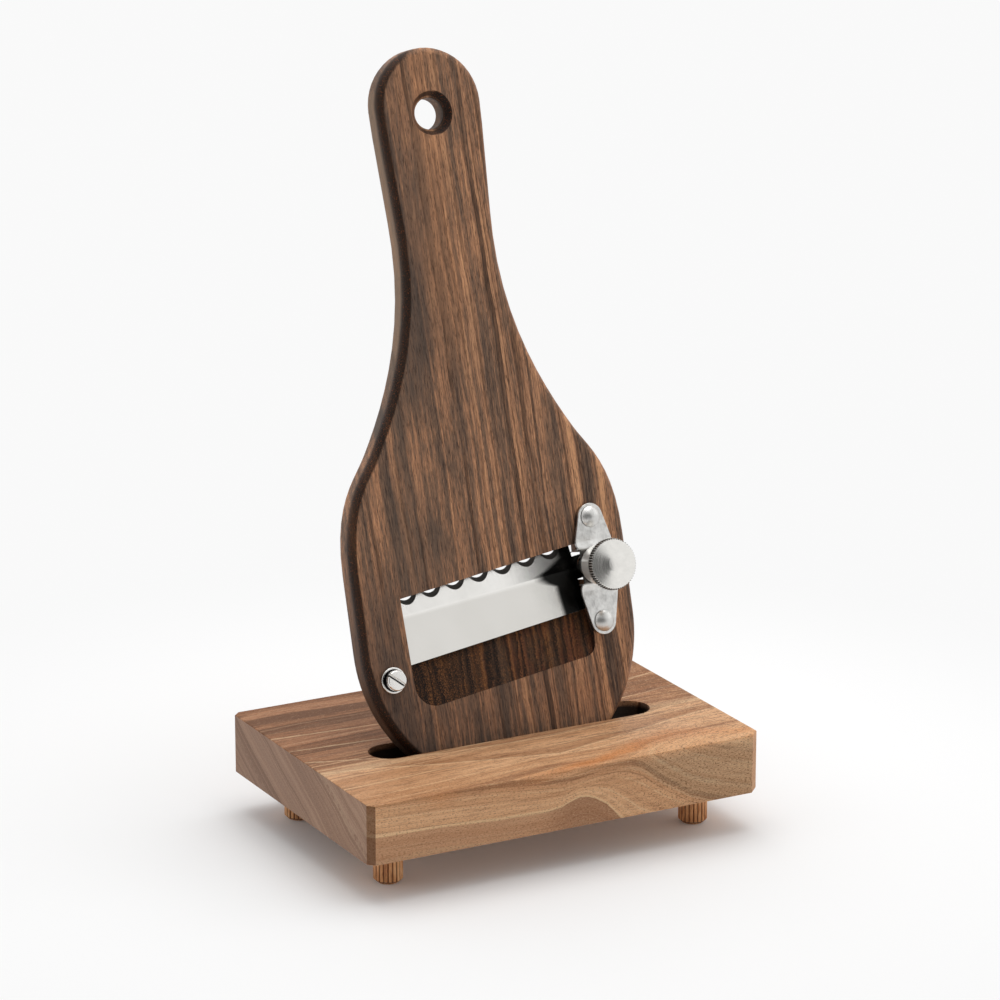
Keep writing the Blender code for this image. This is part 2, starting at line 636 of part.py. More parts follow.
def make_blade(pivot, face):
    """The scalloped blade with its tab, and the nut that rides on the knob's screw."""
    low_right = along_bed(BLADE_RIGHT, BLADE_LOW_REACH)
    top_right = along_bed(BLADE_RIGHT, EDGE_REACH)
    run = (top_right - low_right) / BLADE_WIDTH
    tab_y = NUT_PLACE.y
    outline = [(BLADE_LEFT, BLADE_LOW), (low_right, BLADE_LOW)]
    outline.append((low_right + run * (tab_y - TAB_RADIUS - BLADE_LOW), tab_y - TAB_RADIUS))
    outline += arc((NUT_PLACE.x, tab_y), TAB_RADIUS, -pi / 2, pi / 2, ARC_STEPS)
    outline.append((low_right + run * (tab_y + TAB_RADIUS - BLADE_LOW), tab_y + TAB_RADIUS))
    outline += [(top_right, BLADE_TOP + OVERRUN), (BLADE_LEFT, BLADE_TOP + OVERRUN)]
    hole = circle((NUT_PLACE.x, tab_y), TAB_HOLE, ROUND_STEPS // 2)
    blade = plate("blade", [outline, hole], BLADE_THICKNESS, BLADE_TOP_FACE)
    work = bmesh.new()
    work.from_mesh(blade.data)
    whole = work.verts[:] + work.edges[:] + work.faces[:]
    upright = Vector((0.0, cos(BED_ANGLE), sin(BED_ANGLE)))
    bmesh.ops.bisect_plane(work, geom=whole, plane_co=upright * EDGE_REACH, plane_no=upright, clear_outer=True)
    rim = [edge for edge in work.edges if edge.is_boundary]
    bmesh.ops.contextual_create(work, geom=rim)
    bmesh.ops.recalc_face_normals(work, faces=work.faces)
    work.to_mesh(blade.data)
    work.free()
    to_pivot = at(*-HINGE_PLACE)
    blade.data.transform(to_pivot)
    link(blade, pivot, look=BLADE_STEEL)

    # Each scallop is ground by a tilted round wheel, deeper on the front face than at the edge
    edge = (WINDOW_HEIGHT - SCALLOP_EDGE_DEPTH - BLADE_FLOAT * sin(BED_ANGLE)) / cos(BED_ANGLE)
    face_edge = (WINDOW_HEIGHT - SCALLOP_FACE_DEPTH - BLADE_TOP_FACE * sin(BED_ANGLE)) / cos(BED_ANGLE)
    grind = atan2(BLADE_THICKNESS, edge - face_edge)
    wheel = [(0.0, BLADE_WIDTH / 2), (SCALLOP_RADIUS, BLADE_WIDTH / 2)]
    wheel += [(SCALLOP_RADIUS, -BLADE_WIDTH / 2), (0.0, -BLADE_WIDTH / 2)]
    top_left = along_bed(-WINDOW_HALF_WIDTH, EDGE_REACH)
    middle = (top_left + top_right) / 2 + SCALLOP_SHIFT
    pitch = (top_right - top_left - 2 * SCALLOP_END_LAND) / SCALLOPS
    for i in range(SCALLOPS):
        x = middle + (i - (SCALLOPS - 1) / 2) * pitch
        base = at(x, edge + SCALLOP_RADIUS * sin(grind), BLADE_FLOAT + SCALLOP_RADIUS * cos(grind))
        tilt = Matrix.Rotation(pi / 2 - grind, 4, "X")
        cut(blade, turned(f"scallop_wheel_{i + 1}", wheel, 64), pivot, to_pivot @ base @ tilt)

    seat = BLADE_TOP_FACE + SEAT_GAP
    profile = [(0.0, seat + NUT_HEIGHT), (NUT_RADIUS, seat + NUT_HEIGHT), (NUT_RADIUS, seat), (0.0, seat)]
    nut = turned("blade_nut", profile)
    nut.data.transform(at(NUT_PLACE.x, NUT_PLACE.y))
    nut.data.transform(to_pivot)
    link(nut, pivot, look=STEEL)
    bore = STEM_RADIUS + RUNNING_GAP
    profile = [(0.0, OVERRUN), (bore, OVERRUN), (bore, -PADDLE_THICKNESS), (0.0, -PADDLE_THICKNESS)]
    cut(nut, turned("nut_bore_cutter", profile), face, KNOB)


for old in list(bpy.data.objects):
    bpy.data.objects.remove(old, do_unlink=True)

PART = bpy.data.collections.new("truffle_slicer")
CUTTERS = bpy.data.collections.new("cutters")
bpy.context.scene.collection.children.link(PART)
bpy.context.scene.collection.children.link(CUTTERS)

PADDLE_WOOD = material("paddle_wood", (0.105, 0.048, 0.027), 0.45)
BLOCK_WOOD = material("block_wood", (0.36, 0.19, 0.1), 0.55)
FOOT_WOOD = material("foot_wood", (0.33, 0.15, 0.075), 0.6)
STEEL = material("steel", (0.66, 0.65, 0.62), 0.32, 1.0)
BLADE_STEEL = material("blade_steel", (0.78, 0.78, 0.77), 0.25, 1.0)
BRASS = material("brass", (0.72, 0.5, 0.22), 0.35, 1.0)

# The bed's frame: along the window, up the slope, and out of the bed
BED = at(0.0, WINDOW_BOTTOM, -BED_STEP)
BED = BED @ Matrix.Rotation(WINDOW_SKEW, 4, "Z") @ Matrix.Rotation(-BED_ANGLE, 4, "X")

KNOB_X = WINDOW_HALF_WIDTH + KNOB_OUTSIDE_WINDOW
KNOB_FACE_REACH = WINDOW_HEIGHT - KNOB_BELOW_TOP
KNOB = at(*on_bed(along_bed(KNOB_X, KNOB_FACE_REACH), KNOB_FACE_REACH))
RIVETS = [("upper", KNOB @ at(y=RIVET_ABOVE)), ("lower", KNOB @ at(y=-RIVET_BELOW))]

CLAMP_REACH = BLADE_LOW_REACH - CLAMP_STOP_GAP - CLAMP_RADIUS
CLAMP_X = -WINDOW_HALF_WIDTH - CLAMP_OUTSIDE_WINDOW
CLAMP = at(*on_bed(along_bed(CLAMP_X, CLAMP_REACH), CLAMP_REACH))

BLADE_RIGHT = WINDOW_HALF_WIDTH - BLADE_END_GAP
BLADE_LEFT = along_bed(-WINDOW_HALF_WIDTH, BLADE_LOW_REACH) - BLADE_IN_KERF - BLADE_END_GAP * 2
BLADE_MIDDLE = BLADE_FLOAT + BLADE_THICKNESS / 2
NUT_PLACE = Vector((
    along_bed(KNOB_X, KNOB_FACE_REACH),
    KNOB_FACE_REACH / cos(BED_ANGLE) - BLADE_MIDDLE * tan(BED_ANGLE),
    BLADE_MIDDLE,
))
HINGE_PLACE = Vector((along_bed(CLAMP_X, CLAMP_REACH), (BLADE_LOW + BLADE_TOP) / 2, BLADE_MIDDLE))

STAND = empty("stand", None, at(0.0, STAND_Y, 0.0))
LEANING = at(SLOT_SIDE_SHIFT - PADDLE_SIDE_SHIFT, PADDLE_Y, PADDLE_Z) @ Matrix.Rotation(pi / 2 - LEAN, 4, "X")
FACE = empty("paddle_face", STAND, LEANING)
KNOB_AXIS = empty("knob_axis", FACE, KNOB)
BLADE_PIVOT = empty("blade_pivot", FACE, BED @ at(*HINGE_PLACE))

make_stand(STAND)
make_paddle(FACE)
make_bracket(KNOB_AXIS)
make_rivets(FACE)
make_clamp(FACE)
make_knob(KNOB_AXIS)
make_blade(BLADE_PIVOT, FACE)
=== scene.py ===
"""A wooden truffle slicer standing in its own block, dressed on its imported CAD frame."""

from math import asin, atan2, cos, hypot, pi, radians, sin

import bmesh
import bpy
from mathutils import Matrix, Vector


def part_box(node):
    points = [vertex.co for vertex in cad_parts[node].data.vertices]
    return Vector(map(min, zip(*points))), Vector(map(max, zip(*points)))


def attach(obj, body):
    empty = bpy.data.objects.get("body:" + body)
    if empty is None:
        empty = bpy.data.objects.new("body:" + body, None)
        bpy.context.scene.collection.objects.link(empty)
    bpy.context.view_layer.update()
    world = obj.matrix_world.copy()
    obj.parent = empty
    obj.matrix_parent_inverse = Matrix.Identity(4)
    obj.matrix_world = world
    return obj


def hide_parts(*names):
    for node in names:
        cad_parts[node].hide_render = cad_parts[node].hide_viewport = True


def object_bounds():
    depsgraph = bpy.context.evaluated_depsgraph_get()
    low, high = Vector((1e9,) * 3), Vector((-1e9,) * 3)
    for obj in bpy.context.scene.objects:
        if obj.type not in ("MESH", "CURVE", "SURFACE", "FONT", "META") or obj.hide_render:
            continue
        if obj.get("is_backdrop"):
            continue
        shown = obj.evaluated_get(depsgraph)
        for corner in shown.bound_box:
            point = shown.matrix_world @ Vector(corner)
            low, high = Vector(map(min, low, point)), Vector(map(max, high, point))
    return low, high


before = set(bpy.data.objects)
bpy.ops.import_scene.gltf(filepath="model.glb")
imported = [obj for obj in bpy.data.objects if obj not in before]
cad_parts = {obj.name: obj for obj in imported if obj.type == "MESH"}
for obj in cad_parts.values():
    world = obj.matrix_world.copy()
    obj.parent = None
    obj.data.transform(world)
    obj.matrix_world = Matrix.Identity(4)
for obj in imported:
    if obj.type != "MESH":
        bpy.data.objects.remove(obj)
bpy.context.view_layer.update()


# The stand's block is one piece of solid, oiled hardwood with warm tan and reddish brown streaks. Its grain
# runs along its length, its four upright corners are planed off, and a round-ended slot is routed in its top.
# Its figures are laid out in millimetres from the middle of its lower front edge.
MM = 0.001
WELD = 0.000002
WELD_ANGLE = radians(0.5)


class Wire:
    """A shader socket. Sums on it add Math nodes, and node() makes any other node in the same tree."""

    def __init__(self, tree, socket=None):
        self.tree = tree
        self.socket = socket

    def node(self, kind, settings=None, inputs=None, output=0):
        """One node from its type, its settings and the values or links of its sockets."""
        made = self.tree.nodes.new(kind)
        for name, value in (settings or {}).items():
            if name == "stops":
                stops = made.color_ramp.elements
                while len(stops) < len(value):
                    stops.new(1.0)
                for stop, (place, colour) in zip(stops, value):
                    stop.position = place
                    stop.color = colour
            else:
                setattr(made, name, value)
        for name, value in (inputs or {}).items():
            if isinstance(value, Wire):
                self.tree.links.new(value.socket, made.inputs[name])
            else:
                made.inputs[name].default_value = value
        return Wire(self.tree, made.outputs[output] if made.outputs else None)

    def out(self, name):
        """Another output of the node that this socket belongs to."""
        return Wire(self.tree, self.socket.node.outputs[name])

    def maths(self, operation, other=0.0):
        """A Math node with this value as its first."""
        return self.node("ShaderNodeMath", {"operation": operation}, {0: self, 1: other})

    def __add__(self, other):
        return self.maths("ADD", other)

    def __sub__(self, other):
        return self.maths("SUBTRACT", other)

    def __rsub__(self, other):
        return self.node("ShaderNodeMath", {"operation": "SUBTRACT"}, {0: other, 1: self})

    def __neg__(self):
        return 0 - self

    def __mul__(self, other):
        return self.maths("MULTIPLY", other)

    def __truediv__(self, other):
        return self.maths("DIVIDE", other)

    def __pow__(self, other):
        return self.maths("POWER", other)

    def __abs__(self):
        return self.maths("ABSOLUTE")

    __radd__ = __add__
    __rmul__ = __mul__

    def least(self, other):
        """The smaller of this value and another."""
        return self.maths("MINIMUM", other)

    def most(self, other):
        """The larger of this value and another."""
        return self.maths("MAXIMUM", other)

    def radius_with(self, other):
        """The distance from an axis, from the two measures across it."""
        return (self ** 2.0 + other ** 2.0) ** 0.5

    def step(self, low, high):
        """0 below low, 1 above high, and a soft step between them; low may be the larger one."""
        sides = {"Value": self, "From Min": low, "From Max": high}
        return self.node("ShaderNodeMapRange", {"interpolation_type": "SMOOTHSTEP"}, sides)

    def shade(self, under, over):
        """Two colours mixed, with this value as the share of the second."""
        settings = {"data_type": "RGBA", "blend_type": "MIX", "clamp_factor": True}
        return self.node("ShaderNodeMix", settings, {0: self, 6: under, 7: over}, 2)

    def ramp(self, *stops):
        """A colour for each value, from (value, colour) stops."""
        return self.node("ShaderNodeValToRGB", {"stops": stops}, {"Fac": self})

    def curve(self, stops):
        """A number that runs straight from each (value, number) stop to the next."""
        start, end = stops[0][0], stops[-1][0]
        low = min(number for _, number in stops)
        high = max(number for _, number in stops)
        shades = [((v - start) / (end - start), (*[(n - low) / (high - low)] * 3, 1.0)) for v, n in stops]
        return ((self - start) / (end - start)).ramp(*shades) * (high - low) + low

    def place(self, where, turn=(0.0, 0.0, 0.0)):
        """Object coordinates in millimetres from a point, turned back by the given angles."""
        point = self.node("ShaderNodeTexCoord", output="Object")
        sizes = {"Vector": point, "Location": where, "Rotation": turn, "Scale": (MM, MM, MM)}
        return self.node("ShaderNodeMapping", {"vector_type": "TEXTURE"}, sizes)

    def facing(self):
        """The way that the surface faces."""
        return self.node("ShaderNodeTexCoord", output="Normal")

    def noise(self, stretch, detail=2.0, rough=0.5, shift=(0.0, 0.0, 0.0)):
        """Noise over this place, with so many waves to the millimetre along each axis."""
        place = self.node("ShaderNodeMapping", {}, {"Vector": self, "Scale": stretch, "Location": shift})
        sizes = {"Vector": place, "Scale": 1.0, "Detail": detail, "Roughness": rough}
        return self.node("ShaderNodeTexNoise", {}, sizes)

    def lines(self, scale, detail=2.0, rough=0.5, shift=0.0):
        """Noise along one number, as the width of growth rings is."""
        sizes = {"W": self * scale + shift, "Scale": 1.0, "Detail": detail, "Roughness": rough}
        return self.node("ShaderNodeTexNoise", {"noise_dimensions": "1D"}, sizes)

    def split(self):
        """The three parts of a vector."""
        parts = self.node("ShaderNodeSeparateXYZ", {}, {"Vector": self})
        return parts, parts.out("Y"), parts.out("Z")

    def along(self, direction):
        """How far a vector points in a direction."""
        both = {0: self, 1: direction}
        return self.node("ShaderNodeVectorMath", {"operation": "DOT_PRODUCT"}, both, "Value")


def tint(red, green, blue):
    """A colour as a picture shows it, from 0 to 255, for a shader's socket."""
    parts = [c / 255 for c in (red, green, blue)]
    return (*[c / 12.92 if c < 0.04045 else ((c + 0.055) / 1.055) ** 2.4 for c in parts], 1.0)


def emptied(holder):
    """The tree of a material or a world, with nothing in it yet."""
    holder.use_nodes = True
    holder.node_tree.nodes.clear()
    return Wire(holder.node_tree)


def finish(name, paint):
    """A material, from a function that takes its tree and gives the shader's sockets."""
    made = bpy.data.materials.new(name)
    root = emptied(made)
    shader = root.node("ShaderNodeBsdfPrincipled", {}, paint(root))
    root.node("ShaderNodeOutputMaterial", {}, {"Surface": shader})
    return made


def bump(root, height, depth):
    """A relief, its depth in millimetres."""
    return root.node("ShaderNodeBump", {}, {"Height": height, "Distance": depth * MM, "Strength": 1.0})


def piece(name, work, look, body, *nodes, sharp=35.0):
    """A finished object from a bmesh, riding on its body and standing for its CAD nodes."""
    mesh = bpy.data.meshes.new(name)
    work.to_mesh(mesh)
    work.free()
    mesh.shade_smooth()
    mesh.set_sharp_from_angle(angle=radians(sharp))
    made = bpy.data.objects.new(name, mesh)
    bpy.context.scene.collection.objects.link(made)
    made.data.materials.append(look)
    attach(made, body)
    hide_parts(*nodes)
    flat = made.modifiers.new("Flat faces", "WEIGHTED_NORMAL")
    flat.keep_sharp = True
    return made


def welded(node):
    """A bmesh of a CAD node with its triangles joined into faces."""
    work = bmesh.new()
    work.from_mesh(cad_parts[node].data)
    bmesh.ops.remove_doubles(work, verts=work.verts, dist=WELD)
    bmesh.ops.dissolve_limit(work, angle_limit=WELD_ANGLE, verts=work.verts, edges=work.edges)
    return work


BLOCK_ORIGIN = (0.0, -0.0579, 0.014)
BLOCK_TOP = 21
SLOT_MIDDLE = (1.6, 44.4)
SLOT_HALF = (55.5, 7.6)
SLOT_FLOOR = 5
LOW_RING = 9
HIGH_RING = 18
LOW_ARCH = (
    (-75, 10.3), (-47, 9.5), (-28, 8.3), (-8, 7.9), (-3, 8.5), (0.3, 9.9), (3.7, 10.9), (7.2, 10.5),
    (9.9, 9.4), (14, 6.8), (16.8, 4.0), (19.5, 0.8), (27, -8), (75, -16),
)
HIGH_ARCH = (
    (-75, 19), (-30, 17.5), (-2.4, 15), (10, 17), (18, 18), (23, 17.8), (27.7, 16.3), (36.6, 9.6),
    (46.9, 3.3), (54.4, 0.6), (75, -5),
)
RING_EDGES = (
    ((-75, 36), (-60, 33), (-28, 23), (5, 15.5), (31, 21), (58, 28), (75, 31)),
    ((-75, 48), (-58, 42.5), (-30, 34), (8, 32), (38, 34.5), (68, 40.5), (75, 42)),
    ((-75, 60), (20, 52), (59, 55.4), (75, 59)),
    ((-75, 74), (20, 66), (54, 69), (75, 74)),
)
AMBER_COURSE = (
    (-75, -2), (-24, -1.5), (-12, 0), (2, 2.2), (13, 3), (24.5, 7), (34.6, 11.5), (48, 14.5), (60, 11),
    (70, 6), (75, 4),
)
AMBER_WIDTH = ((-75, 4.6), (20, 4.6), (36, 6.2), (50, 7.4), (64, 5), (75, 4.2))
AMBER_STRENGTH = (
    (-75, 0), (-58, 0), (-49, 0.4), (-40, 0), (-22, 0.1), (-8, 0.5), (4, 0.9), (18, 1), (36, 0.75),
    (50, 0.55), (75, 0.35),
)


def paint_block(root):
    """Growth rings that dip towards the front, with two arched figures in the front face."""
    place = root.place(BLOCK_ORIGIN)
    x, y, z = place.split()
    top = z.step(BLOCK_TOP - 0.8, BLOCK_TOP - 0.2)
    near = y.step(24, 1)

    # The rings are level planes, bent near the front face until two of them follow the arches.
    low_arch = x.curve(LOW_ARCH)
    span = x.curve(HIGH_ARCH) - low_arch
    share = ((z - low_arch) / span).least(1.0).most(0.0)
    lift = low_arch + share * (span - (HIGH_RING - LOW_RING)) - LOW_RING
    level = z - near * lift
    wander = place.noise((0.014, 0.03, 0.03), 2.0, 0.5)
    ring = level * 0.87 - y * 0.5 + (wander - 0.5) * 5 * y.step(0, 12) + x * 0.02
    broad = ring.lines(0.11, 3.0, 0.6, 3.7)
    fine = ring.lines(0.55, 2.0, 0.6, 1.3)
    streak = place.noise((0.02, 0.5, 0.5), 3.0, 0.6, (4.0, 0.0, 0.0))
    fibre = place.noise((0.22, 2.0, 2.0), 3.0, 0.7)

    # The ground colour is calmer in front of the slot than behind it.
    tone = broad * 0.5 + fine * 0.16 + streak * 0.2 + fibre * 0.14
    tone = tone + (0.525 - tone) * near * 0.45
    calm = y.step(42, 28) * (1 - near)
    tone = tone + (0.508 - tone) * calm * 0.45
    colour = tone.ramp(
        (0.42, tint(170, 118, 83)), (0.475, tint(200, 150, 109)), (0.525, tint(217, 168, 126)),
        (0.58, tint(230, 186, 144)),
    )

    # The back is banded heartwood, and two parts of the top are browner than the rest.
    heart = (y - x * 0.05 + (streak - 0.5) * 50).step(28, 66)
    colour = (heart * 0.8).shade(colour, tint(126, 78, 48))
    band = ring.lines(0.26, 2.0, 0.6, 7.7) + (streak - 0.5) * 0.5
    colour = (heart * band.step(0.48, 0.57) * 0.6).shade(colour, tint(80, 44, 24))
    colour = (heart * band.step(0.46, 0.4) * 0.55).shade(colour, tint(186, 132, 96))
    brown_left = x.step(-20, -50) * y.step(32, 24) * z.step(BLOCK_TOP - 1.5, BLOCK_TOP - 0.5)
    brown_right = x.step(30, 62) * y.step(36, 60)
    colour = (brown_left * 0.5 + brown_right * 0.45).shade(colour, tint(172, 120, 80))

    # Each ring edge on the top is a pale line with brown late wood behind it.
    for edge in RING_EDGES:
        seam = y + (streak - 0.5) * 2 - x.curve(edge)
        late = seam.step(-0.2, 0.6) * seam.step(8.0, 2.0) * top
        colour = (late * 0.5).shade(colour, tint(144, 94, 60))
        early = abs(seam).step(0.7, 0.1) * top
        colour = (early * 0.5).shade(colour, tint(236, 202, 160))

    # Dark dashes, thin pale rings and thin brown ones run all over it.
    dash = place.noise((0.1, 0.9, 0.9), 3.0, 0.7, (0.0, 3.0, 8.0))
    colour = (dash.step(0.5, 0.36) * (0.5 - near * 0.3)).shade(colour, tint(96, 58, 36))
    pale = abs(ring.lines(0.13, 1.0, 0.4, 9.1) - 0.5).step(0.014, 0.0)
    pale = pale * streak.step(0.35, 0.55) * (1 - heart * 0.6)
    colour = (pale * 0.7).shade(colour, tint(222, 186, 146))
    brown = abs(ring.lines(0.19, 1.0, 0.4, 5.6) - 0.5).step(0.012, 0.0) * streak.step(0.65, 0.45)
    colour = (brown * 0.5).shade(colour, tint(112, 72, 50))

    # The front face: browner under the low arch, a pale line on each arch, and grey over the high one.
    under = (level - LOW_RING).step(0.1, -0.7) * near
    colour = (under * 0.55).shade(colour, tint(168, 122, 92))
    inside = x.step(-14, 2) * x.step(34, 20)
    colour = (under * inside * 0.4).shade(colour, tint(124, 80, 56))
    low_line = abs(level - LOW_RING + (streak - 0.5) * 0.8).step(0.75, 0.05) * near
    colour = (low_line * 0.75).shade(colour, tint(230, 194, 150))
    high_line = abs(level - HIGH_RING).step(0.5, 0.1) * near * x.step(14, 26)
    high_line = high_line * z.step(BLOCK_TOP, BLOCK_TOP - 1)
    colour = (high_line * 0.45).shade(colour, tint(206, 172, 134))
    grey = (level - HIGH_RING).step(-0.5, 1.5) * near * x.step(16, 34) * z.step(BLOCK_TOP, BLOCK_TOP - 3.5)
    colour = (grey * 0.45).shade(colour, tint(150, 126, 98))

    # A warm strip and an amber streak follow the edge between the top and the front face.
    sunny = y.step(15, 6) * z.step(BLOCK_TOP - 1, BLOCK_TOP - 0.2) * x.step(8, 34)
    colour = (sunny * 0.5).shade(colour, tint(216, 160, 110))
    patch = place.noise((0.05, 0.3, 0.3), 3.0, 0.6, (7.7, 2.0, 1.0))
    aside = abs(y + z - BLOCK_TOP - x.curve(AMBER_COURSE) + (patch - 0.5) * 7)
    amber = (aside / x.curve(AMBER_WIDTH)).step(1.0, 0.05) * x.curve(AMBER_STRENGTH)
    colour = (amber * 0.72).shade(colour, tint(204, 128, 70))

    # Open pores are dark and the flecks between them pale, strongest on the front and at the right.
    speck = place.noise((1.1, 2.6, 2.6), 2.0, 0.8)
    strength = x.step(18, 44) * 0.35 + near * 0.2 + 0.45
    colour = (speck.step(0.47, 0.34) * strength).shade(colour, tint(104, 74, 50))
    colour = (speck.step(0.55, 0.7) * strength * 0.6).shade(colour, tint(226, 192, 152))

    # The ends show greyer end grain. The front left corner gets painted shade, and the front right one
    # painted light.
    across, front, _ = root.facing().split()
    grain = place.noise((1.0, 2.2, 2.2), 3.0, 0.75)
    ends = (broad * 0.4 + fine * 0.2 + grain * 0.4).ramp(
        (0.4, tint(124, 98, 82)), (0.5, tint(149, 119, 100)), (0.6, tint(170, 139, 118)),
    )
    ends = (pale * 0.4).shade(ends, tint(186, 156, 132))
    ends = (brown * 0.1).shade(ends, tint(108, 84, 70))
    colour = (abs(across).step(0.8, 0.95) * 0.9).shade(colour, ends)
    colour = ((-across - front).step(1.3, 1.38) * 0.7).shade(colour, tint(92, 58, 38))
    colour = ((across - front).step(1.3, 1.38) * 0.5).shade(colour, tint(192, 134, 92))

    # The slot gets painted shade inside, softer near the top.
    slot_shade = abs(y - SLOT_MIDDLE[1]).step(SLOT_HALF[1] + 0.1, SLOT_HALF[1] - 0.1)
    slot_shade = slot_shade * abs(x - SLOT_MIDDLE[0]).step(SLOT_HALF[0] + 0.5, SLOT_HALF[0] - 0.5)
    slot_shade = slot_shade * z.step(BLOCK_TOP - 0.1, BLOCK_TOP - 2.5) * z.step(SLOT_FLOOR - 0.2, SLOT_FLOOR - 0.1)
    colour = (slot_shade * 0.96).shade(colour, tint(18, 11, 7))
    rough = 0.6 - broad * 0.1
    relief = bump(root, fibre * 0.5 + speck * 0.5, 0.06)
    return {"Base Color": colour, "Roughness": rough, "Normal": relief, "Specular IOR Level": 0.12}


BLOCK_WOOD = finish("block_wood", paint_block)
block = piece("block_body", welded("stand_block"), BLOCK_WOOD, "stand", "stand_block")


# The four feet are ends of fluted beech dowel, pushed into holes under the block and chamfered where they
# stand. The flutes are pressed in, so their ridges are round, and the grooves between them get painted shade.
FOOT_RADIUS = 0.005
FOOT_CHAMFER = 0.0013
FLUTES = 20
FLUTE_STEPS = 8
FLUTE_DEPTH_SHARE = 0.09
FEET_MIDDLE = (0.0, -0.0054056, 0.0)
FEET_REACH = (58.9, 33.9)


def paint_foot(root):
    """Pale beech with fine fibres, and painted shade deep in the flutes."""
    place = root.place(FEET_MIDDLE)
    fibre = place.noise((3.0, 3.0, 0.35), 3.0, 0.6)
    patch = place.noise((0.3, 0.3, 0.15), 2.0, 0.5)
    colour = (fibre * 0.6 + patch * 0.4).ramp(
        (0.36, tint(178, 116, 72)), (0.5, tint(228, 166, 112)), (0.64, tint(250, 200, 146)),
    )
    x, y, _ = place.split()
    radius = (abs(x) - FEET_REACH[0]).radius_with(abs(y) - FEET_REACH[1])
    # Painted shade in the grooves between the flutes.
    groove = radius.step(FOOT_RADIUS / MM - 0.08, FOOT_RADIUS / MM - 0.36) * radius.step(3.6, 4.4)
    colour = (groove * 0.75).shade(colour, tint(78, 44, 24))
    return {"Base Color": colour, "Roughness": 0.65, "Normal": bump(root, fibre, 0.08)}


FOOT_WOOD = finish("foot_wood", paint_foot)
for corner in ("front_left", "front_right", "back_left", "back_right"):
    node = "stand_foot_" + corner
    low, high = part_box(node)
    centre = (low + high) / 2
    end_radius = FOOT_RADIUS - FOOT_CHAMFER
    levels = ((FOOT_RADIUS, FOOT_CHAMFER), (FOOT_RADIUS, high.z - FOOT_CHAMFER), (end_radius, high.z))
    work = bmesh.new()
    bmesh.ops.create_circle(work, cap_ends=True, segments=FLUTES * FLUTE_STEPS, radius=end_radius)
    edges = list(work.edges)
    for radius, height in levels:
        grown = bmesh.ops.extrude_edge_only(work, edges=edges)["geom"]
        edges = [g for g in grown if isinstance(g, bmesh.types.BMEdge)]
        for vertex in (g for g in grown if isinstance(g, bmesh.types.BMVert)):
            vertex.co.z = height
            vertex.co.xy *= radius / hypot(*vertex.co.xy)
    bmesh.ops.contextual_create(work, geom=edges)
    for vertex in work.verts:
        angle = atan2(vertex.co.y, vertex.co.x)
        reach = hypot(*vertex.co.xy) / FOOT_RADIUS
        groove = max(0.0, -cos(angle * FLUTES)) ** 2
        vertex.co.xy *= 1 - FLUTE_DEPTH_SHARE * groove * reach ** 4
    bmesh.ops.recalc_face_normals(work, faces=work.faces)
    bmesh.ops.translate(work, vec=(centre.x, centre.y, 0.0), verts=work.verts)
    foot = piece("dowel_" + corner, work, FOOT_WOOD, "stand", node)


# The paddle is a bat of dark striped hardwood, 10 mm thick, with its edges rounded over by a router and
# oiled. Its window has a bed that slopes through the wood from front to back, like the bed of a plane.
# Its figures are laid out in millimetres from the middle of its foot, in the plane of its front face.
FACE_ORIGIN = (0.0013, -0.0212296, 0.021588)
FACE_TURN = (radians(73.74), 0.0, 0.0)
LEAN = pi / 2 - FACE_TURN[0]
SKEW = radians(7.53)
WINDOW_FOOT = 31.3
WINDOW_HALF = 36.6
WINDOW_RISE = 38.6
HOLE_HEIGHT = 226.7
HOLE_CHAMFER = 7.5
HOLE_BORE = 5.8
BRIDGE_MIDDLE = (39.05, 66.28)
BRIDGE_HALF = (
    (-24.4, 0), (-22.5, 3), (-19.5, 4.7), (-11, 6.7), (-6.5, 7), (-4.9, 5.2), (0, 5.4), (4.9, 5.2),
    (6.5, 7), (9, 6.9), (16.7, 4.8), (19.8, 3), (21.6, 0),
)


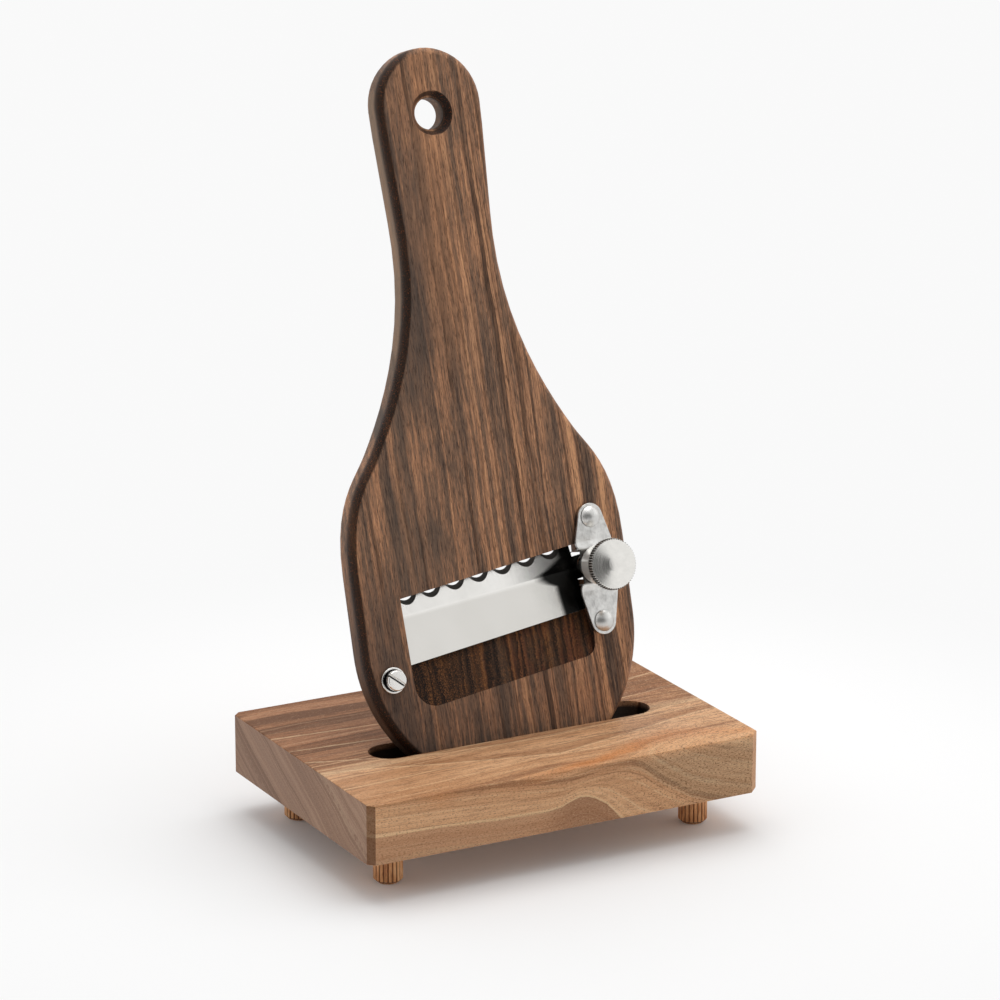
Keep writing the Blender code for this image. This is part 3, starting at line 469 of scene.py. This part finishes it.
def paint_paddle(root):
    """Wavy stripes along the handle, painted light and shade on the round-over, and an oily bed in the
    window.
    """
    place = root.place(FACE_ORIGIN, FACE_TURN)
    x, y, z = place.split()

    # The stripes are upright growth rings, broken up by long patches, strands and short fibres.
    bend = place.noise((0.02, 0.009, 0.02), 2.0, 0.5, (3.1, 0.4, 0.0))
    wave = place.noise((0.16, 0.035, 0.16), 2.0, 0.5, (0.0, 7.4, 0.0))
    ring = x + z * 0.45 + y * 0.02 + (bend - 0.5) * 8 + (wave - 0.5) * 1.6
    stripe = ring.lines(0.2, 2.0, 0.6, 6.1)
    thread = ring.lines(0.8, 2.0, 0.6, 4.4)
    fade = place.noise((0.16, 0.02, 0.16), 3.0, 0.6, (0.0, 5.0, 0.0))
    strand = place.noise((1.0, 0.045, 1.0), 3.0, 0.65, (2.0, 0.0, 5.0))
    fibre = place.noise((3.2, 0.18, 3.2), 3.0, 0.75)
    tone = stripe * 0.26 + thread * 0.12 + fade * 0.2 + strand * 0.14 + fibre * 0.28
    tone = tone + y.step(120, 165) * 0.012 + x.step(-25, 30) * 0.016
    colour = tone.ramp(
        (0.41, tint(76, 60, 51)), (0.46, tint(108, 85, 70)), (0.5, tint(140, 107, 84)),
        (0.54, tint(174, 125, 93)), (0.59, tint(210, 156, 115)),
    )

    # The left side is greyer and duller, and the middle of the handle redder.
    cloud = place.noise((0.05, 0.016, 0.05), 2.0, 0.5, (1.0, 2.0, 3.0))
    colour = (cloud.step(0.46, 0.6) * (x.step(25, -35) * 0.5 + 0.1)).shade(colour, tint(88, 76, 67))
    colour = (y.step(46, 8) * x.step(6, -30) * 0.4).shade(colour, tint(84, 72, 65))
    dull = y.step(95, 40) * x.step(-28, -44) * 0.6 + y.step(120, 150) * x.step(-5, -14) * 0.4
    colour = dull.shade(colour, tint(80, 67, 60))
    heart = abs(x + 3 + (wave - 0.5) * 12).step(9, 2) * y.step(125, 160)
    colour = (heart * 0.3).shade(colour, tint(190, 134, 94))

    # Dark stripes, thin black lines and open pores.
    dark = ring.lines(0.3, 1.0, 0.5, 8.8).step(0.6, 0.67) * fade.step(0.4, 0.56)
    colour = (dark * 0.6).shade(colour, tint(54, 39, 30))
    thin = abs(ring.lines(0.4, 1.0, 0.5, 2.7) - 0.5).step(0.05, 0.01)
    thin = thin * x.step(-30, 20) * strand.step(0.4, 0.55)
    colour = (thin * 0.6).shade(colour, tint(50, 37, 30))
    pores = place.noise((4.4, 0.4, 4.4), 1.0, 0.5, (0.5, 0.5, 0.5)).step(0.54, 0.68)
    colour = (pores * 0.55).shade(colour, tint(44, 29, 21))

    # The window's walls get painted shade. Its oiled bed is speckled at the left, red at the right, with
    # black streaks.
    side, back, up = root.facing().split()
    ahead = up * sin(LEAN) - back * cos(LEAN)
    across = x * cos(SKEW) + (y - WINDOW_FOOT) * sin(SKEW)
    reach = (y - WINDOW_FOOT) * cos(SKEW) - x * sin(SKEW)
    hollow = abs(across).step(WINDOW_HALF + 1.2, WINDOW_HALF + 0.7) * reach.step(-1.0, -0.4)
    hollow = hollow * reach.step(WINDOW_RISE + 1.2, WINDOW_RISE + 0.7) * z.step(-0.05, -0.35)
    bed = hollow * ahead.step(0.6, 0.8)
    mottle = place.noise((3.2, 2.0, 3.2), 2.0, 0.8)
    ember = mottle.ramp((0.43, tint(6, 3, 1)), (0.5, tint(40, 23, 10)), (0.58, tint(116, 74, 40)))
    oiled = colour.node("ShaderNodeHueSaturation", {}, {"Saturation": 1.2, "Value": 0.64, "Color": colour})
    red = fade.step(0.42, 0.58) * x.step(-24, 16)
    oiled = (red * 0.6).shade(oiled, tint(108, 58, 38))
    oiled = (x.step(0, -24) * 0.7 + 0.1).shade(oiled, ember)
    black = (ring + (mottle - 0.5) * 4 + (fade - 0.5) * 6).lines(0.5, 2.0, 0.6, 3.3).step(0.44, 0.58)
    oiled = (black * 0.9).shade(oiled, tint(12, 5, 2))
    oiled = (mottle.step(0.5, 0.4) * 0.4).shade(oiled, tint(12, 6, 3))
    oiled = (mottle.step(0.55, 0.66) * 0.3).shade(oiled, tint(150, 96, 62))
    colour = bed.shade(colour, oiled)
    # Painted shade on the window's walls.
    wall_shade = hollow * ahead.step(0.6, 0.4) * ahead.step(-0.97, -0.9)
    colour = (wall_shade * 0.85).shade(colour, tint(24, 15, 10))

    # The round-over: painted light up the handle's left side, painted shade lower down, painted light at the
    # right.
    colour = ((-side).step(0.9, 0.99) * (y.step(90, 150) * 0.5)).shade(colour, tint(158, 132, 108))
    colour = ((-side).step(0.3, 0.9) * y.step(110, 50) * 0.5).shade(colour, tint(66, 42, 26))
    # A band of painted shade with painted glints runs along the front of the left round-over.
    roundover_shade = (-side).step(0.05, 0.3) * z.step(-4.6, -2.4)
    shade_glints = mottle.ramp((0.45, tint(18, 11, 7)), (0.6, tint(40, 22, 12)), (0.68, tint(140, 72, 34)))
    colour = (roundover_shade * 0.88).shade(colour, shade_glints)
    # Painted shade in the hole's countersink and bore.
    rim = x.radius_with(y - HOLE_HEIGHT)
    countersink_shade = rim.step(HOLE_CHAMFER + 0.2, HOLE_CHAMFER - 0.2) * z.step(-2.0, -1.6)
    colour = (countersink_shade * 0.85).shade(colour, shade_glints)
    bore_shade = rim.step(HOLE_BORE + 0.1, HOLE_BORE - 0.1) * z.step(-1.9, -2.4)
    colour = (bore_shade * 0.5).shade(colour, tint(58, 48, 42))
    # Painted light on the right round-over.
    roundover_light = side.step(0.3, 0.7) * ahead.step(0.1, 0.3)
    colour = (roundover_light * 0.4).shade(colour, tint(156, 106, 74))

    # A painted shadow lies along the left edge of the bracket.
    along = y - BRIDGE_MIDDLE[1]
    bracket_shadow = (BRIDGE_MIDDLE[0] - x - along.curve(BRIDGE_HALF)).step(1.5, 0.1)
    bracket_shadow = bracket_shadow * x.step(BRIDGE_MIDDLE[0] + 2, BRIDGE_MIDDLE[0] - 2)
    bracket_shadow = bracket_shadow * abs(along + 1.4).step(23.2, 21.6) * z.step(-0.5, -0.1)
    colour = (bracket_shadow * 0.8).shade(colour, tint(26, 16, 10))
    rough = 0.5 + bed * 0.1 + (fibre - 0.5) * 0.2
    relief = bump(root, fibre * 0.5 - pores + bed * mottle * 1.2, 0.05)
    return {"Base Color": colour, "Roughness": rough, "Normal": relief, "Specular IOR Level": 0.16}


PADDLE_WOOD = finish("paddle_wood", paint_paddle)
bat = piece("bat", welded("paddle"), PADDLE_WOOD, "paddle", "paddle")


# The bracket is pressed from stainless sheet: two teardrop feet, riveted to the wood, carry a raised eye
# between them for the knob's screw. Its edges are tumbled smooth and its faces are softly wavy. Its neck,
# which is in the knob's shade and carries painted shade, is a little wider here than on the imported solid.
NECK_REACH = 6.2
NECK_CORE = 3.5
NECK_WIDER = 1.3
SHEET_ROUND = 0.0002


def on_face(point):
    """The matrix that stands a piece upright on the paddle's front face, at a point."""
    return Matrix.Translation(point) @ Matrix.Rotation(FACE_TURN[0], 4, "X")


def break_edges(work, above, offset, segments):
    """Rounds off the edges that turn by more than so many degrees."""
    edges = [e for e in work.edges if len(e.link_faces) == 2 and e.calc_face_angle() > radians(above)]
    bmesh.ops.bevel(
        work, geom=edges, offset=offset, segments=segments, profile=0.5, affect="EDGES", material=-1,
    )


def paint_sheet(root):
    """Wavy, lightly brushed sheet, with painted shade on the neck under the knob."""
    place = root.place(FACE_ORIGIN, FACE_TURN)
    wave = place.noise((0.35, 0.35, 0.35), 2.0, 0.5)
    brush = place.noise((0.6, 6.0, 6.0), 2.0, 0.6)
    colour = wave.ramp((0.35, tint(208, 207, 204)), (0.65, tint(234, 233, 230)))
    _, y, _ = place.split()
    # The neck under the knob gets painted shade.
    neck_shade = abs(y - BRIDGE_MIDDLE[1]).step(6.5, 5.4)
    colour = (neck_shade * 0.9).shade(colour, tint(52, 48, 44))
    rough = 0.27 + brush * 0.12
    relief = bump(root, wave * 4.0 + brush * 0.12, 0.05)
    return {"Base Color": colour, "Metallic": 1.0, "Roughness": rough, "Normal": relief}


SHEET_STEEL = finish("sheet_steel", paint_sheet)
work = welded("bracket")
seat = on_face(FACE_ORIGIN)
unseat = seat.inverted()
for vertex in work.verts:
    x, y, z = (unseat @ vertex.co) / MM
    aside = x - BRIDGE_MIDDLE[0]
    if abs(y - BRIDGE_MIDDLE[1]) < NECK_REACH and abs(aside) > NECK_CORE:
        wider = BRIDGE_MIDDLE[0] + aside * NECK_WIDER
        vertex.co = seat @ (Vector((wider, y, z)) * MM)
break_edges(work, 50, SHEET_ROUND, 3)
bridge = piece("bridge", work, SHEET_STEEL, "paddle", "bracket")


# Two domed steel rivets hold the bracket's feet. Each has a satin head, and a tail that is flared a little
# in the wood, just short of the paddle's back.
RIVET_RADIUS = 0.00175
RIVET_HEAD = 0.00365
RIVET_RISE = 0.0016
RIVET_SEAT = 0.0018
RIVET_TAIL = 0.00235
RIVET_FLARE = 0.0006
RIVET_SHORT_OF_BACK = 0.0003
RIVET_STEPS = 64
DOME_STEPS = 12
PADDLE_THICKNESS = 0.0104
RIVET_PLACES = {"upper": (0.04035, 0.0020043, 0.1012479), "lower": (0.04035, -0.0081316, 0.0664958)}


def turned(profile, steps, place=None):
    """A turned solid from its outer profile, run from top to bottom, and moved to its place on the paddle."""
    work = bmesh.new()
    points = [work.verts.new((r, 0.0, z)) for r, z in profile]
    edges = [work.edges.new(pair) for pair in zip(points, points[1:])]
    bmesh.ops.spin(
        work, geom=points + edges, cent=(0, 0, 0), axis=(0, 0, 1), dvec=(0, 0, 0),
        angle=2 * pi, steps=steps, use_merge=True,
    )
    bmesh.ops.remove_doubles(work, verts=work.verts, dist=WELD)
    bmesh.ops.recalc_face_normals(work, faces=work.faces)
    if place:
        bmesh.ops.transform(work, matrix=on_face(place), verts=work.verts)
    return work


def paint_turned(where, cut, shade, rough, depth, marks=None):
    """Turned steel: fine rings about the piece's own axis, and marks that give its colour and metal."""
    def paint(root):
        place = root.place(where, FACE_TURN)
        x, y, z = place.split()
        radius = x.radius_with(y)
        rings = (radius + z * 0.7).lines(cut, 2.0, 0.6)
        wear = place.noise((0.5, 0.5, 0.5), 3.0, 0.6)
        colour = wear.ramp((0.35, tint(*[c - 6 for c in shade])), (0.65, tint(*shade)))
        metal = 1.0
        if marks:
            colour, metal = marks(colour, x, y, z, radius)
        dull = rings * 0.12 + rough
        relief = bump(root, rings, depth)
        return {"Base Color": colour, "Metallic": metal, "Roughness": dull, "Normal": relief}
    return paint


sphere = (RIVET_HEAD ** 2 + RIVET_RISE ** 2) / (2 * RIVET_RISE)
spread = asin(RIVET_HEAD / sphere)
profile = []
for step in range(DOME_STEPS + 1):
    angle = spread * step / DOME_STEPS
    profile.append((sphere * sin(angle), RIVET_SEAT + RIVET_RISE - sphere * (1 - cos(angle))))
tail_end = RIVET_SHORT_OF_BACK - PADDLE_THICKNESS
profile += [(RIVET_RADIUS, RIVET_SEAT), (RIVET_RADIUS, tail_end + RIVET_FLARE), (RIVET_TAIL, tail_end)]
profile.append((0.0, tail_end))
for name, place in RIVET_PLACES.items():
    look = finish("rivet_steel_" + name, paint_turned(place, 5.0, (214, 213, 210), 0.32, 0.01))
    work = turned(profile, RIVET_STEPS, place)
    rivet = piece("rivet_" + name, work, look, "paddle", "bracket_rivet_" + name)


# The clamp at the blade's left end is a slotted cheese head screw on a washer. It goes through a clearance
# hole into a threaded brass insert in the back of the wood.
CLAMP_PLACE = (-0.04195, -0.0103762, 0.0588002)
CLAMP_SLOT_TURN = radians(-39)
CAD_SLOT_TURN = radians(-33)
HEAD_ROUND = 0.0001
WASHER_ROUND = 0.0002
HOLLOW_SHADE = tint(24, 23, 21)


def clamp_shade(colour, x, y, z, radius):
    """Painted shade in the ring between the head and the washer's edge, and in the bottom of the slot."""
    # Painted shade around the head and in the slot.
    ring = radius.step(3.95, 3.8) * z.step(2.75, 2.5)
    across = y * cos(CLAMP_SLOT_TURN) - x * sin(CLAMP_SLOT_TURN)
    slot_shade = across.step(-0.6, -0.45) * across.step(0.38, 0.18) * z.step(3.35, 3.2) * radius.step(3.55, 3.45)
    return (ring.most(slot_shade) * 0.97).shade(colour, HOLLOW_SHADE), 1.0


def paint_brass(root):
    """Turned brass, a little uneven."""
    place = root.place(CLAMP_PLACE, FACE_TURN)
    wear = place.noise((0.8, 0.8, 3.0), 3.0, 0.6)
    colour = wear.ramp((0.35, tint(176, 142, 86)), (0.65, tint(214, 182, 118)))
    return {"Base Color": colour, "Metallic": 1.0, "Roughness": 0.35, "Normal": bump(root, wear, 0.02)}


def dress(node, look):
    """Puts a new look on a CAD node that keeps its own shape."""
    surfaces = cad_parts[node].data.materials
    surfaces.clear()
    surfaces.append(look)


CLAMP_STEEL = finish("clamp_steel", paint_turned(CLAMP_PLACE, 2.0, (244, 242, 238), 0.14, 0.006, clamp_shade))
work = welded("clamp_screw")
axis = Vector((0.0, -cos(LEAN), sin(LEAN)))
turn = Matrix.Rotation(CLAMP_SLOT_TURN - CAD_SLOT_TURN, 4, axis)
bmesh.ops.rotate(work, cent=CLAMP_PLACE, matrix=turn, verts=work.verts)
break_edges(work, 40, HEAD_ROUND, 2)
screw = piece("cheese_head_screw", work, CLAMP_STEEL, "paddle", "clamp_screw")
work = welded("clamp_washer")
break_edges(work, 40, WASHER_ROUND, 3)
washer = piece("washer", work, CLAMP_STEEL, "paddle", "clamp_washer")
dress("clamp_insert", finish("insert_brass", paint_brass))


# The knob is turned from stainless bar with a straight knurl round its head. Its face is a very flat cone,
# left with the fine rings of the turning tool, and its plain round hub stands on the bracket's eye.
KNOB_PLACE = (0.04035, -0.0026717, 0.0852158)
KNOB_RADIUS = 0.00894
KNURLS = 60
KNURL_STEPS = 6
KNURL_DEPTH = 0.0005
KNURL_EDGE = 0.0003
RIM_TOP = 0.0147
RIM_LOW = 0.0113
HUB_RADIUS = 0.0068
HUB_LOW = 0.00255
HUB_EDGE = 0.0003
STEM_HOLE = 0.0022
STEM_HOLE_TOP = 0.00935


def knob_shade_and_metal(colour, x, y, z, radius):
    """Painted shade in the grooves of the knurl and on the rim's side, and a duller rim and hub."""
    foot = RIM_LOW / MM
    # Painted shade in the grooves of the knurl.
    turn = y.maths("ARCTAN2", x) * KNURLS
    grooves = turn.maths("COSINE").step(0.75, 0.3) * radius.step(8.35, 8.45) * z.step(foot - 0.1, foot + 0.1)
    colour = (grooves * 0.97).shade(colour, HOLLOW_SHADE)
    side = z.step(foot - 0.2, foot) * radius.step(8.4, 8.6)
    # The rim's side is darkened with painted shade.
    colour = (side * 0.35).shade(colour, tint(110, 108, 104))
    hub = z.step(foot - 0.1, foot - 0.3) * radius.step(6.2, 6.5)
    return colour, 1 - side * 0.4 - hub * 0.6


KNOB_STEEL = finish("knob_steel", paint_turned(KNOB_PLACE, 3.0, (236, 234, 229), 0.12, 0.018, knob_shade_and_metal))
profile = [
    (0.0, RIM_TOP), (0.00235, RIM_TOP - 0.00001), (0.0025, RIM_TOP - 0.00004), (0.0054, RIM_TOP - 0.0004),
    (KNOB_RADIUS - 0.0007, RIM_TOP - 0.00076), (KNOB_RADIUS - 0.00055, RIM_TOP - 0.00078),
    (KNOB_RADIUS - 0.0002, RIM_TOP - 0.0009), (KNOB_RADIUS, RIM_TOP - 0.0012),
    (KNOB_RADIUS, RIM_LOW + 0.00035), (KNOB_RADIUS - 0.00035, RIM_LOW),
    (HUB_RADIUS + HUB_EDGE, RIM_LOW), (HUB_RADIUS, RIM_LOW - HUB_EDGE),
    (HUB_RADIUS, HUB_LOW + HUB_EDGE), (HUB_RADIUS - HUB_EDGE, HUB_LOW),
    (STEM_HOLE, HUB_LOW), (STEM_HOLE, STEM_HOLE_TOP), (0.0, STEM_HOLE_TOP),
]
work = turned(profile, KNURLS * KNURL_STEPS)
for vertex in work.verts:
    reach = hypot(*vertex.co.xy)
    if reach > KNOB_RADIUS - KNURL_EDGE:
        tooth = abs((atan2(vertex.co.y, vertex.co.x) / (2 * pi) * KNURLS) % 1 - 0.5) * 2
        vertex.co.xy *= 1 - KNURL_DEPTH * (1 - tooth) / reach
bmesh.ops.transform(work, matrix=on_face(KNOB_PLACE), verts=work.verts)
knob = piece("knurled_knob", work, KNOB_STEEL, "knob", "knob", sharp=30.0)
for node in ("knob_stem", "retaining_collar", "collar_pin", "blade_nut"):
    dress(node, KNOB_STEEL)


# The blade is hardened stainless strip, satin ground across its width. Seven scallops are ground along its
# edge with a round wheel, and they leave hollow crescents, darkened with a painted reflection, between bright
# teeth. A dark painted reflection lies beside the knob. Its measures are millimetres along the bed from the
# window's foot.
BED_ORIGIN = (0.0013, -0.0122257, 0.051566)
BED_TURN = (radians(57.40623), radians(-7.22716), radians(2.11963))
BED_NORMAL = Matrix.Rotation(BED_TURN[2], 3, "Z") @ Matrix.Rotation(BED_TURN[1], 3, "Y") @ (
    Matrix.Rotation(BED_TURN[0], 3, "X") @ Vector((0.0, 0.0, 1.0))
)
GRIND_FOOT = 31.8
GRIND_SLANT = 0.038
MIRROR_EDGE = (
    (12, 28.6), (16, 28.8), (22, 29.4), (26.2, 29.9), (28, 26.6), (29.8, 24.7), (31.6, 24.9), (32.6, 28.4),
    (35.2, 34.2), (40, 35.2),
)
MIRROR_SOFTNESS = ((12, 1.1), (26, 1.2), (29, 2.4), (33, 2.6), (40, 1.0))
CURL_START = 12


def paint_blade(root):
    """Satin steel with a ground strip along its edge, hollow scallops with a painted reflection, and a dark
    painted reflection beside the knob.
    """
    place = root.place(BED_ORIGIN, BED_TURN)
    x, reach, _ = place.split()
    brush = place.noise((9.0, 0.10, 1.0), 3.0, 0.7)
    cloud = place.noise((0.06, 0.03, 0.06), 2.0, 0.5)
    colour = cloud.ramp((0.35, tint(238, 236, 231)), (0.65, tint(249, 247, 243)))
    rise = reach - GRIND_FOOT + x * GRIND_SLANT
    colour = (rise.step(0.2, -1.8) * 0.6).shade(colour, tint(206, 203, 197))
    flat = root.facing().along(BED_NORMAL)
    # The scallops' hollow crescents are darkened with a painted reflection.
    hollow = flat.step(0.985, 0.95)
    colour = hollow.shade(colour, tint(116, 115, 112))
    # A dark painted reflection beside the knob.
    painted_reflection = ((x - reach.curve(MIRROR_EDGE)) / reach.curve(MIRROR_SOFTNESS)).step(-1.0, 1.0)
    painted_reflection = painted_reflection * flat.step(0.5, 0.9)
    colour = (painted_reflection * 0.985).shade(colour, tint(16, 16, 15))
    curl = (x - CURL_START).most(0.0)
    relief = bump(root, brush * 0.014 + rise.most(0.0) * 0.14 + curl * curl * 0.004, 1.0)
    rough = 0.12 + brush * 0.1
    return {"Base Color": colour, "Metallic": 1 - hollow * 0.7, "Roughness": rough, "Normal": relief}


BLADE_STEEL = finish("blade_steel", paint_blade)
cutter = piece("scalloped_blade", welded("blade"), BLADE_STEEL, "blade", "blade", sharp=25.0)


# The studio: a white sweep that the room lights evenly, one large soft lamp overhead and a small one at the
# right. The wall behind the camera's left is dark, which gives the wood its shade and the steel its contrast.
BACKDROP = 0.95
AMBIENT = 0.95
SWEEP_RADIUS = 6.0
SHADOW_REACH = (0.12, 0.3)
DARK_SIDE = Vector((-0.55, -0.80, 0.12)).normalized()
DARK_WALL = Vector((-0.34, -0.93, 0.1)).normalized()


def paint_floor(root):
    """White cloth that takes the object's shadow, and glows evenly further off."""
    path = root.node("ShaderNodeLightPath", output="Is Camera Ray")
    seen = path.most(path.out("Is Glossy Ray")).most(path.out("Is Transmission Ray"))
    x, y, _ = root.node("ShaderNodeTexCoord", output="Object").split()
    away = x.radius_with(y).step(*SHADOW_REACH) * 0.96 + 0.04
    cloth = root.node("ShaderNodeBsdfDiffuse", {}, {"Color": (0.9, 0.9, 0.9, 1.0)})
    glow = root.node("ShaderNodeEmission", {}, {"Strength": seen * (BACKDROP - AMBIENT) + AMBIENT})
    surface = root.node("ShaderNodeMixShader", {}, {0: away, 1: cloth, 2: glow})
    root.node("ShaderNodeOutputMaterial", {}, {"Surface": surface})


def paint_room(root):
    """An even white room with a dark side, which is sharper in what the steel mirrors."""
    path = root.node("ShaderNodeLightPath", output="Is Camera Ray")
    ray = root.node("ShaderNodeTexCoord", output="Generated")
    soft = ray.along(DARK_SIDE).step(0.95, 0.2) * 0.93 + 0.05
    _, _, up = ray.split()
    sharp = (ray.along(DARK_WALL).step(0.79, 0.7) * 0.89 + 0.1) * (1 - up.step(0.42, 0.6) * 0.02)
    glossy = path.out("Is Glossy Ray").most(path.out("Is Transmission Ray"))
    level = path * BACKDROP + (1 - path) * (glossy * (sharp * BACKDROP - soft * AMBIENT) + soft * AMBIENT)
    glow = root.node("ShaderNodeBackground", {}, {"Color": (1.0, 1.0, 1.0, 1.0), "Strength": level})
    root.node("ShaderNodeOutputWorld", {}, {"Surface": glow})


sweep = bpy.data.materials.new("white_sweep")
paint_floor(emptied(sweep))
work = bmesh.new()
bmesh.ops.create_circle(work, cap_ends=True, segments=64, radius=SWEEP_RADIUS)
mesh = bpy.data.meshes.new("floor")
work.to_mesh(mesh)
work.free()
mesh.materials.append(sweep)
floor = bpy.data.objects.new("floor", mesh)
bpy.context.scene.collection.objects.link(floor)
floor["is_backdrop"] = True
world = bpy.data.worlds.new("studio")
bpy.context.scene.world = world
paint_room(emptied(world))


def lamp(name, place, aim, size, power):
    """A square soft lamp that faces a point."""
    light = bpy.data.lights.new(name, "AREA")
    light.shape = "SQUARE"
    light.size = size
    light.energy = power
    made = bpy.data.objects.new(name, light)
    made.location = place
    made.rotation_euler = (Vector(aim) - Vector(place)).to_track_quat("-Z", "Y").to_euler()
    bpy.context.scene.collection.objects.link(made)


lamp("overhead", place=(0.15, 0.15, 1.25), aim=(0.0, 0.0, 0.05), size=1.1, power=7.1)
lamp("right", place=(1.3, -0.35, 0.7), aim=(0.0, 0.0, 0.1), size=0.8, power=1.2)

camera = bpy.data.objects.new("camera", bpy.data.cameras.new("camera"))
bpy.context.scene.collection.objects.link(camera)
camera.data.lens = 161.68
camera.data.sensor_width = 36.0
camera.location = (-0.69035, -1.28494, 0.5511)
camera.rotation_euler = (radians(73.30), 0.0, radians(-28.41))
bpy.context.scene.camera = camera
bpy.context.scene.view_settings.view_transform = "Standard"

low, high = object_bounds()
